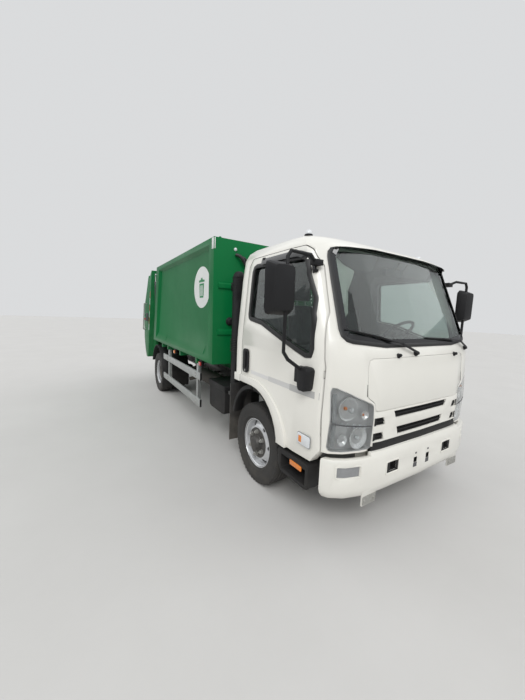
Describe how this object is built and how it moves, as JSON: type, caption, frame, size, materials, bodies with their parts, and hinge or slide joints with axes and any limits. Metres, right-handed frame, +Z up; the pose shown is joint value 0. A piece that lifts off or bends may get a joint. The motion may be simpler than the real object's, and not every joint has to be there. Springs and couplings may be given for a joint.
{
  "type": "garbage truck",
  "caption": "Rear-loading garbage truck: forward-control cab that tilts, compactor body, lifting tailgate with a sliding packer, hopper and bin lifter.",
  "frame": {"origin": "on the ground under the middle of the truck's length", "axes": "+Z up, the front faces -Y, the driver's side (left) is +X"},
  "size_m": [2.69, 6.269, 2.581],
  "materials": {
    "white_paint": "gloss paint",
    "green_paint": "gloss paint",
    "frame_paint": "satin paint",
    "silver_paint": "silver paint",
    "black_plastic": "grained",
    "grey_trim": "grained",
    "tyre_rubber": "matt",
    "aluminium": "dull",
    "glass": "clear",
    "lamp": "clear lens over a reflector",
    "cast_iron": "rough, painted black",
    "seat_cloth": "woven",
    "bare_steel": "worn bright"
  },
  "bodies": {
    "chassis": {"chassis_frame": "frame_paint", "front_axle_beam": "cast_iron", "rear_axle": "cast_iron", "propeller_shaft": "cast_iron", "engine_block": "cast_iron", "fuel_tank": "frame_paint", "battery_box": "black_plastic", "silencer": "cast_iron", "front_bumper": "white_paint", "air_intake": "black_plastic", "body_shell": "green_paint", "side_guard_right": "aluminium", "side_guard_left": "aluminium", "rear_mudguard_right": "black_plastic", "rear_mudguard_left": "black_plastic"},
    "cab": {"cab_shell": "white_paint", "front_panel": "white_paint", "grille_panel": "white_paint", "windscreen": "glass", "rear_window": "glass", "dashboard": "grey_trim", "steering_wheel": "black_plastic", "driver_seat": "seat_cloth", "passenger_bench": "seat_cloth", "headlamp_right": "lamp", "headlamp_left": "lamp", "entry_step_right": "black_plastic", "entry_step_left": "black_plastic"},
    "door_right": {"door_right": "white_paint", "door_glass_right": "glass", "mirror_right": "black_plastic"},
    "door_left": {"door_left": "white_paint", "door_glass_left": "glass", "mirror_left": "black_plastic"},
    "knuckle_right": {"knuckle_right": "cast_iron"},
    "knuckle_left": {"knuckle_left": "cast_iron"},
    "track_rod": {"track_rod": "cast_iron"},
    "wheel_front_right": {"front_wheel_right": "silver_paint", "front_tyre_right": "tyre_rubber"},
    "wheel_front_left": {"front_wheel_left": "silver_paint", "front_tyre_left": "tyre_rubber"},
    "wheel_rear_right": {"rear_wheel_right": "silver_paint", "rear_tyre_outer_right": "tyre_rubber", "rear_tyre_inner_right": "tyre_rubber"},
    "wheel_rear_left": {"rear_wheel_left": "silver_paint", "rear_tyre_outer_left": "tyre_rubber", "rear_tyre_inner_left": "tyre_rubber"},
    "tailgate": {"tailgate": "green_paint"},
    "packer": {"packer_carriage": "green_paint"},
    "sweep": {"sweep_panel": "bare_steel"},
    "bin_lifter": {"bin_lifter": "green_paint"},
    "lift_barrel_right": {"lift_barrel_right": "frame_paint"},
    "lift_barrel_left": {"lift_barrel_left": "frame_paint"},
    "lift_rod_right": {"lift_rod_right": "bare_steel"},
    "lift_rod_left": {"lift_rod_left": "bare_steel"}
  },
  "joints": [
    {"name": "cab_tilt", "type": "hinge", "parent": "chassis", "child": "cab", "pos_m": [0, -3.0445, 0.5], "axis": [1, 0, 0], "range_deg": [0, 45]},
    {"name": "door_right_hinge", "type": "hinge", "parent": "cab", "child": "door_right", "pos_m": [-0.94732, -2.9125, 1.37], "axis": [0, 0, 1], "range_deg": [0, 65]},
    {"name": "door_left_hinge", "type": "hinge", "parent": "cab", "child": "door_left", "pos_m": [0.94732, -2.9125, 1.37], "axis": [0, 0, -1], "range_deg": [0, 65]},
    {"name": "steer_right", "type": "hinge", "parent": "chassis", "child": "knuckle_right", "pos_m": [-0.7, -2.0245, 0.392], "axis": [0, 0, 1], "range_deg": [-35, 35]},
    {"name": "steer_left", "type": "hinge", "parent": "chassis", "child": "knuckle_left", "pos_m": [0.7, -2.0245, 0.392], "axis": [0, 0, 1], "range_deg": [-35, 35]},
    {"name": "track_rod_end", "type": "hinge", "parent": "knuckle_right", "child": "track_rod", "pos_m": [-0.7, -1.8645, 0.392], "axis": [0, 0, 1], "range_deg": [-35, 35]},
    {"name": "roll_front_right", "type": "hinge", "parent": "knuckle_right", "child": "wheel_front_right", "pos_m": [-0.8325, -2.0245, 0.392], "axis": [1, 0, 0], "continuous": true},
    {"name": "roll_front_left", "type": "hinge", "parent": "knuckle_left", "child": "wheel_front_left", "pos_m": [0.8325, -2.0245, 0.392], "axis": [1, 0, 0], "continuous": true},
    {"name": "roll_rear_right", "type": "hinge", "parent": "chassis", "child": "wheel_rear_right", "pos_m": [-0.79, 1.7905, 0.392], "axis": [1, 0, 0], "continuous": true},
    {"name": "roll_rear_left", "type": "hinge", "parent": "chassis", "child": "wheel_rear_left", "pos_m": [0.79, 1.7905, 0.392], "axis": [1, 0, 0], "continuous": true},
    {"name": "tailgate_lift", "type": "hinge", "parent": "chassis", "child": "tailgate", "pos_m": [0, 1.9755, 2.545], "axis": [1, 0, 0], "range_deg": [0, 80]},
    {"name": "packer_slide", "type": "slide", "parent": "tailgate", "child": "packer", "axis": [0, 0.2361, -0.9717], "range_m": [0, 0.34]},
    {"name": "sweep_swing", "type": "hinge", "parent": "packer", "child": "sweep", "pos_m": [0, 2.33149, 1.44347], "axis": [1, 0, 0], "range_deg": [0, 70]},
    {"name": "bin_lift", "type": "hinge", "parent": "tailgate", "child": "bin_lifter", "pos_m": [0, 3.0805, 1.02], "axis": [1, 0, 0], "range_deg": [0, 135]},
    {"name": "lift_barrel_swing_right", "type": "hinge", "parent": "chassis", "child": "lift_barrel_right", "pos_m": [-1.012, 2.0055, 1.7], "axis": [1, 0, 0], "range_deg": [-4.3, 0]},
    {"name": "lift_barrel_swing_left", "type": "hinge", "parent": "chassis", "child": "lift_barrel_left", "pos_m": [1.012, 2.0055, 1.7], "axis": [1, 0, 0], "range_deg": [-4.3, 0]},
    {"name": "lift_rod_slide_right", "type": "slide", "parent": "lift_barrel_right", "child": "lift_rod_right", "axis": [0, 0.0879, 0.9961], "range_m": [0, 0.235]},
    {"name": "lift_rod_slide_left", "type": "slide", "parent": "lift_barrel_left", "child": "lift_rod_left", "axis": [0, 0.0879, 0.9961], "range_m": [0, 0.235]}
  ],
  "couplings": [
    {"joint": "steer_left", "follows": "steer_right", "ratio": 1},
    {"joint": "track_rod_end", "follows": "steer_right", "ratio": -1},
    {"joint": "lift_barrel_swing_right", "follows": "tailgate_lift", "ratio": -0.05316},
    {"joint": "lift_barrel_swing_left", "follows": "tailgate_lift", "ratio": -0.05316},
    {"joint": "lift_rod_slide_right", "follows": "tailgate_lift", "m_per_rad": 0.16786},
    {"joint": "lift_rod_slide_left", "follows": "tailgate_lift", "m_per_rad": 0.16786}
  ]
}
